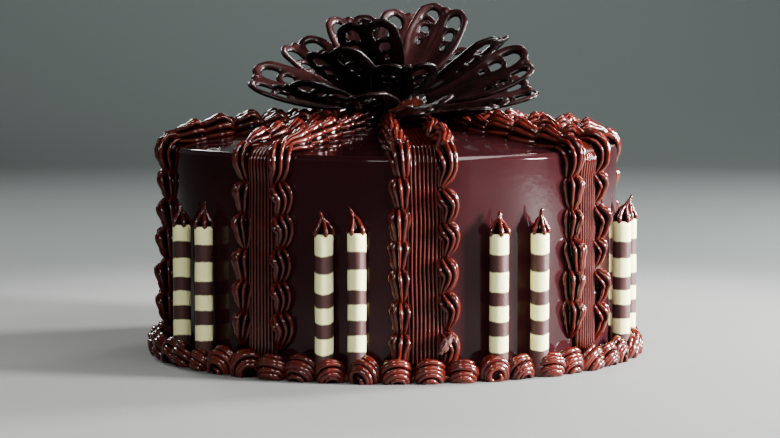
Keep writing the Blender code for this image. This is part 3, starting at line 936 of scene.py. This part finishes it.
def make_ribbons(material, torn, row_tree, band_tree):
    """Eight ribbons: a ribbed band with a row of shells down each edge."""
    boxes = {}
    for side, sway in SHELL_SWAYS.items():
        for zone in SHELL_FINS:
            variants = [ribbon_shell(f"shell_{zone}_{seed}", 100 + 20 * side + seed, sway, zone)
                        for seed in range(SHELL_KINDS)]
            boxes[side, zone] = shell_box(f"{zone}_shells_{'left' if side < 0 else 'right'}", variants)
    draw = random.Random(5)
    ribbons = []
    for index, (angle, lean) in enumerate(zip(RIBBON_ANGLES, RIBBON_LEAN), start=1):
        path = RibbonPath(angle, lean, index)
        parts = [grow(band_tree, band_strip(path), {"Finish": material})]
        for side in SHELL_SWAYS:
            starts = SHELL_STARTS.get((index, side), (draw.uniform(62.5, 65.5),))
            heads = row_heads(path, side, [start * MM for start in starts])
            zones = {"crown": [head for head in heads if head < path.over - CROWN_END],
                     "side": [head for head in heads if head >= path.over - CROWN_END]}
            for zone, alongs in zones.items():
                row = grow(row_tree, row_places(path, side, alongs), {
                    "Shells": boxes[side, zone], "Tilt": 0.1, "Uneven": 0.07,
                    "Seed": 10 * index + side, "Finish": material})
                parts.append(lay_on(path, row))
        finishes = (material,)
        if index == TORN_RIBBON:
            parts.append(pushed_ball("torn_patch", 4, torn_point))
            finishes = (material, torn)
        ribbons.append(join_meshes(f"piped_ribbon_{index}", parts, *finishes))
    for box in boxes.values():
        empty_box(box)
    return ribbons


def make_border(material, row_tree):
    """Ring of swirls round the cake's foot, piped against the feet of the sticks."""
    box = shell_box("foot_swirls", [foot_swirl(f"foot_swirl_{seed}", 40 + seed)
                                    for seed in range(SWIRL_KINDS)])
    draw = random.Random(21)
    places = []
    for index in range(SWIRL_COUNT):
        turn = radians(SWIRL_FIRST + 360 / SWIRL_COUNT * (index + draw.uniform(-0.08, 0.08)))
        point = on_cake(SWIRL_LINE + draw.uniform(-0.4, 0.4) * MM, turn, 0)
        heading = turn + draw.uniform(-0.2, 0.26)
        places.append((point, Vector((cos(heading), sin(heading), 0)), draw.uniform(0.95, 1.05)))
    swirls = grow(row_tree, places_object("border_places", places), {
        "Shells": box, "Tilt": 0.12, "Uneven": 0.04, "Seed": 77, "Finish": material})
    empty_box(box)
    for vertex in swirls.vertices:
        vertex.co.z = max(vertex.co.z, 0)
    bed = bmesh.new()
    rings = []
    for step in range(BED_STEPS):
        turn = TAU * step / BED_STEPS
        rings.append([on_cake(BED_LINE + BED_HALF * cos(TAU * side / 8), turn,
                              max(BED_MIDDLE + BED_RISE * sin(TAU * side / 8), 0)) for side in range(8)])
    skin(bed, rings, closed=True)
    return join_meshes("piped_border", [swirls, mesh_from("border_bed", bed)], material)


# ---------------------------------------------------------------- sticks

def make_stick(index, angle, draw, stripes, piping):
    """One striped stick with its rolled lip, and the star tip that is piped on it."""
    name = f"striped_stick_{index:02d}"
    height = STICK_HEIGHT + draw.uniform(-STICK_UNEVEN, STICK_UNEVEN)
    lean = radians(draw.uniform(0, 360))
    phase = draw.uniform(-0.012, 0.012) - 0.007
    slope = draw.uniform(-0.02, 0.02)
    foot = on_cake(STICK_CENTRE, radians(angle), 0)
    shape = piping_shape()
    uv = shape.loops.layers.uv.new("round_and_up")
    levels = [0, 0.6 * MM] + [height * step / STICK_STEPS for step in range(1, STICK_STEPS)]
    levels += [height - STICK_EDGE, height]
    grid = []
    for level in levels:
        radius = STICK_RADIUS - (STICK_EDGE if level in (0, height) else 0)
        line = []
        for side in range(STICK_SIDES):
            turn = TAU * side / STICK_SIDES
            wrap = 0.22 * MM * ease((turn - 4.2) / 0.5) * (1 - ease((turn - 5.2) / 0.08))
            bump = 0.18 * MM * noise.noise(Vector((cos(turn) * 1.3, sin(turn) * 1.3,
                                                   level * 60 + index * 5)))
            reach = radius + bump + wrap
            line.append(shape.verts.new(foot + Vector((reach * cos(turn + lean),
                                                       reach * sin(turn + lean), level))))
        grid.append(line)
    for row, (low, high) in enumerate(zip(grid, grid[1:])):
        for side, face in enumerate(join_loops(shape, low, high)):
            corners = ((side, row), (side + 1, row), (side + 1, row + 1), (side, row + 1))
            for loop, (column, level) in zip(face.loops, corners):
                slant = slope * sin(TAU * column / STICK_SIDES + lean)
                loop[uv].uv = (column / STICK_SIDES, levels[level] / height + slant + phase)
    for row, order in ((0, -1), (-1, 1)):
        face = shape.faces.new(grid[row][::order])
        for loop in face.loops:
            loop[uv].uv = (0.5, 0.95 if row else 0.05)
    star_tip(shape, foot + Vector((0, 0, height)), STICK_HOOKS[index - 1], draw)
    mesh = mesh_from(name, shape)
    mesh.materials.append(stripes)
    mesh.materials.append(piping)
    return add_object(name, mesh)


def star_tip(shape, base, hook, draw):
    """Small star kiss: fins that droop over the stick's edge and close in a hooked point."""
    high = TIP_HEIGHT * draw.uniform(0.95, 1.08)
    wide = TIP_RADIUS * draw.uniform(0.95, 1.06)
    start = draw.uniform(0, 360 / TIP_FINS)
    faces = star_piping(
        shape,
        lambda share: base + Vector((hook[0] * MM * share ** 2.6, hook[1] * MM * share ** 2.6,
                                     high * share - 1.2 * MM)),
        lambda share: (wide * blend(TIP_FORM, share),) * 2,
        Vector((1, 0, 0)), [start + 360 / TIP_FINS * fin for fin in range(TIP_FINS)], 1.25 * MM,
        1.5, 0.5, TIP_STEPS, draw.uniform(-16, 16), draw)
    for face in faces:
        face.material_index = 1


# ---------------------------------------------------------------- lattice flower

def petal_half(y):
    """Half the width of a petal at a distance from its base, as a share of the widest."""
    rise = sin(pi / 2 * min(max(y / PETAL_FULL, 0), 1)) ** 1.05
    beyond = max(y - PETAL_FULL, 0) / (PETAL_LENGTH - PETAL_FULL)
    return (PETAL_NECK + (1 - PETAL_NECK) * rise) * (1 - 0.15 * beyond ** 2)


def arch_line(arch, outwards=0.0, rise=0.0):
    """Middle line of one arch of a petal's lobe as (x, y), moved outwards, its top also up."""
    centre, reach, top = [value * MM for value in arch[:3]]
    top += rise
    reach += outwards
    spring = top + outwards - ARCH_TALL * reach
    leg = spring - ARCH_START
    line = [(centre + reach, ARCH_START + leg * step / ARCH_STEPS) for step in range(ARCH_STEPS)]
    line += [(centre + reach * cos(pi * step / ROUND_STEPS),
              spring + ARCH_TALL * reach * sin(pi * step / ROUND_STEPS)) for step in range(ROUND_STEPS + 1)]
    line += [(centre - reach, spring - leg * step / ARCH_STEPS) for step in range(1, ARCH_STEPS + 1)]
    return [(x * petal_half(y), y) for x, y in line]


def lattice_lines(draw):
    """Edges along a petal's piped arches; each point carries how thick the strand is there."""
    points, edges, thick = [], [], []
    for side in (-1, 1):
        for arch in PETAL_ARCHES:
            _, reach, _, radius = arch
            phase = draw.uniform(0, 6)
            rise = draw.uniform(-0.5, 0.5) * MM
            for index, (x, y) in enumerate(arch_line(arch, rise=rise)):
                if index:
                    edges.append((len(points) - 1, len(points)))
                sway = 0.25 * MM * sin(y * 160 + phase)
                points.append((side * (x + sway), y, STRAND_RISE if reach < 5 else 0))
                lumps = 1 + 0.07 * sin(0.9 * index + phase)
                thick.append(radius * MM * (0.35 + 0.65 * petal_half(y)) * lumps)
    mesh = bpy.data.meshes.new("lattice_lines")
    mesh.from_pydata(points, edges, [])
    mesh.attributes.new("thick", "FLOAT", "POINT")
    mesh.attributes["thick"].data.foreach_set("value", thick)
    return add_object("lattice_lines", mesh)


def petal_web():
    """Flat plate between a petal's strands, cut through where its holes are."""
    edge = [(x, y) for x, y in arch_line(PETAL_ARCHES[0], WEB_MARGIN) if x > 0.4 * MM]
    loops = [edge + [(-x, y) for x, y in reversed(edge)]]
    for above, below in zip(PETAL_ARCHES, PETAL_ARCHES[1:]):
        floor = below[2] * MM - 1.5 * MM
        hole = [point for point in arch_line(above, -above[3] * MM) if point[1] > floor]
        hole += [point for point in reversed(arch_line(below, below[3] * MM)) if point[1] > floor
                 and hole[-1][0] < point[0] < hole[0][0]]
        for side in (-1, 1):
            loops.append([(side * x, y) for x, y in hole])
    curve = bpy.data.curves.new("petal_web", "CURVE")
    curve.dimensions = "2D"
    curve.fill_mode = "BOTH"
    curve.extrude = WEB_THICKNESS / 2
    for loop in loops:
        spline = curve.splines.new("POLY")
        spline.points.add(len(loop) - 1)
        spline.use_cyclic_u = True
        for point, (x, y) in zip(spline.points, loop):
            point.co = (x, y, 0, 1)
    shape = bmesh.new()
    shape.from_mesh(settled(add_object("petal_web", curve)))
    for vertex in shape.verts:
        vertex.co.z += WEB_THICKNESS / 2 - STRAND_FLAT
    bmesh.ops.remove_doubles(shape, verts=shape.verts[:], dist=0.001 * MM)
    return add_object("petal_web", mesh_from("petal_web", shape))


def core_reach(lift):
    return 1 / math.hypot(cos(lift) / CORE_RADIUS, sin(lift) / CORE_RISE)


def petal_place(angle, lift, roll):
    turn = radians(angle)
    rise = radians(lift)
    outward = on_cake(cos(rise), turn, sin(rise))
    aside = Vector((-cos(turn), -sin(turn), 0))
    frame = Matrix((aside, outward, aside.cross(outward))).transposed().to_4x4()
    start = FLOWER_CENTRE + outward * (core_reach(rise) + PETAL_START)
    return Matrix.Translation(start) @ frame @ Matrix.Rotation(radians(roll), 4, "Y")


def raw_petal(name, draw, tree, web, material):
    """Flat petal: its strands, web and tip knob, fused into one skin."""
    shape = bmesh.new()
    shape.from_mesh(grow(tree, lattice_lines(draw), {"Web": web, "Finish": material}))
    knob = bmesh.ops.create_icosphere(shape, subdivisions=2, radius=KNOB_RADIUS)
    bmesh.ops.translate(shape, verts=knob["verts"], vec=(draw.uniform(-0.6, 0.6) * MM, KNOB_PLACE, 0))
    for vertex in knob["verts"]:
        vertex.co.z = max(vertex.co.z, -STRAND_FLAT)
    mesh = bpy.data.meshes.new(name)
    shape.to_mesh(mesh)
    shape.free()
    raw = add_object(name, mesh)
    fuse = raw.modifiers.new("Fuse", "REMESH")
    fuse.mode = "VOXEL"
    fuse.voxel_size = PETAL_GRAIN
    shape = bmesh.new()
    shape.from_mesh(settled(raw))
    for _ in range(PETAL_SMOOTHING):
        bmesh.ops.smooth_vert(shape, verts=shape.verts[:], factor=0.5, use_axis_x=True,
                              use_axis_y=True, use_axis_z=True)
    return shape


def make_petals(material):
    """Twenty lattice petals: arches of piped strands fused to a web, then curved and set."""
    draw = random.Random(12)
    tree = tree_petal_lattice()
    web = petal_web()
    petals = []
    for index, (angle, lift, roll, size) in enumerate(PETALS, start=1):
        name = f"lattice_petal_{index:02d}"
        shape = raw_petal(name, draw, tree, web, material)
        place = petal_place(angle, lift, roll)
        skew = draw.uniform(-1, 1) * MM
        # Painted shade: the flat back and the low parts between strands are darkened, fading out up to the
        # strands' tops.
        painted_shade = shape.verts.layers.float.new("groove")
        for vertex in shape.verts:
            vertex[painted_shade] = 1 - ease((vertex.co.z + STRAND_FLAT) / PETAL_EDGE) ** PETAL_FADE
            vertex.co *= size
            share = vertex.co.y / (PETAL_LENGTH * size)
            across = vertex.co.x / (PETAL_WIDTH / 2)
            vertex.co.z += 4 * PETAL_SAG * (share ** 2 - share) + PETAL_CUP * across ** 2
            vertex.co.z += skew * across * share
            vertex.co = place @ vertex.co
        petals.append(add_object(name, mesh_from(name, shape), material))
    bpy.data.objects.remove(web, do_unlink=True)
    return petals


def core_point(way):
    """Point of the soft ganache that the petals stand in: a low dome with smeared lumps."""
    lump = 1 + 0.10 * noise.noise(way * 2.1) + 0.05 * noise.noise(way * 5.3)
    point = FLOWER_CENTRE + stretched(way, (CORE_RADIUS, CORE_RADIUS, CORE_RISE)) * lump
    point.z = max(point.z, crown_height(0) - CORE_SUNK)
    return point


# ---------------------------------------------------------------- stage

def make_camera():
    camera = add_object("camera", bpy.data.cameras.new("camera"))
    camera.data.lens = CAMERA_LENS
    camera.data.sensor_width = 36
    camera.location = (0, -CAMERA_DISTANCE, CAMERA_HEIGHT)
    camera.rotation_euler = Euler((radians(90 - CAMERA_PITCH), 0, radians(CAMERA_YAW)))
    bpy.context.scene.camera = camera


def make_lights():
    for name, place, power, (width, depth), colour in LIGHTS:
        lamp = bpy.data.lights.new(name, "AREA")
        lamp.shape = "RECTANGLE"
        lamp.size = width
        lamp.size_y = depth
        lamp.energy = power
        lamp.color = colour
        light = add_object(name, lamp)
        light.visible_camera = False
        light.location = place
        light.rotation_euler = (Vector(place) - LIGHTS_AIM).to_track_quat("Z", "Y").to_euler()
    world = bpy.data.worlds.new("studio")
    world.use_nodes = True
    ambient = world.node_tree.nodes["Background"].inputs
    ambient["Color"].default_value, ambient["Strength"].default_value = AMBIENT
    bpy.context.scene.world = world


def make_stage():
    """Floor, pale round the cake, that sweeps up into a grey backdrop all round; both are painted darker
    towards -X as shade.
    """
    shape = bmesh.new()
    profile = [(0.05 * step, 0) for step in range(1, 33)]
    profile += [(FLOOR_EDGE + FLOOR_SWEEP * sin(pi / 2 * step / 12),
                 FLOOR_SWEEP - FLOOR_SWEEP * cos(pi / 2 * step / 12)) for step in range(1, 13)]
    profile.append((FLOOR_EDGE + FLOOR_SWEEP, 1.1))
    loops = [[shape.verts.new(on_cake(radius, TAU * step / FLOOR_STEPS, height))
              for step in range(FLOOR_STEPS)] for radius, height in profile]
    shape.faces.new(loops[0])
    for low, high in zip(loops, loops[1:]):
        join_loops(shape, low, high)
    material, tree, shader = new_material("plain_floor")
    place = add_node(tree, "ShaderNodeTexCoord").outputs["Object"]
    away = add_node(tree, "ShaderNodeVectorMath", {0: place}, operation="LENGTH").outputs["Value"]
    share = rescale(tree, away, 0.24, 0.50, 0.0, 1.0, interpolation_type="SMOOTHSTEP")
    tint = add_node(tree, "ShaderNodeMix", {"Factor": share, 6: FLOOR_PALE, 7: FLOOR_GREY},
                    data_type="RGBA")
    # Painted shade: the floor and backdrop colour darkens towards -X.
    split = add_node(tree, "ShaderNodeSeparateXYZ", {"Vector": place})
    painted_shade = rescale(tree, split, -1.5, 0.3, 0.25, 1.0, interpolation_type="SMOOTHSTEP")
    feed(tree, shader, {"Base Color": scaled(tree, tint.outputs[2], painted_shade), "Roughness": 0.75})
    add_object("floor", mesh_from("floor", shape), material)


def main():
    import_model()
    make_camera()
    make_lights()
    make_stage()
    tone = shader_group_tone()
    glaze, piping, petal, soft, torn = [chocolate(name, tone, *values) for name, values in FINISHES.items()]
    stripes = striped_material("striped_chocolate")
    row_tree = tree_piped_row()
    band_tree = tree_ribbed_band()
    pieces = [(make_cake(glaze), "cake", "ganache"),
              (make_border(piping, row_tree), "base_border", "piped_ganache"),
              (add_object("ganache_core", pushed_ball("ganache_core", 5, core_point), soft),
               "flower_core", "soft_ganache")]
    for index, ribbon in enumerate(make_ribbons(piping, torn, row_tree, band_tree), start=1):
        pieces.append((ribbon, f"ribbon_{index}", "piped_ganache"))
    draw = random.Random(9)
    for index, angle in enumerate(STICK_ANGLES, start=1):
        pieces.append((make_stick(index, angle, draw, stripes, piping),
                       f"stick_{index:02d}", "striped_chocolate"))
    for index, flower_petal in enumerate(make_petals(petal), start=1):
        pieces.append((flower_petal, f"petal_{index:02d}", "dark_chocolate"))
    for piece, node, slot in pieces:
        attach(piece, "root")
        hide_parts(node)


main()
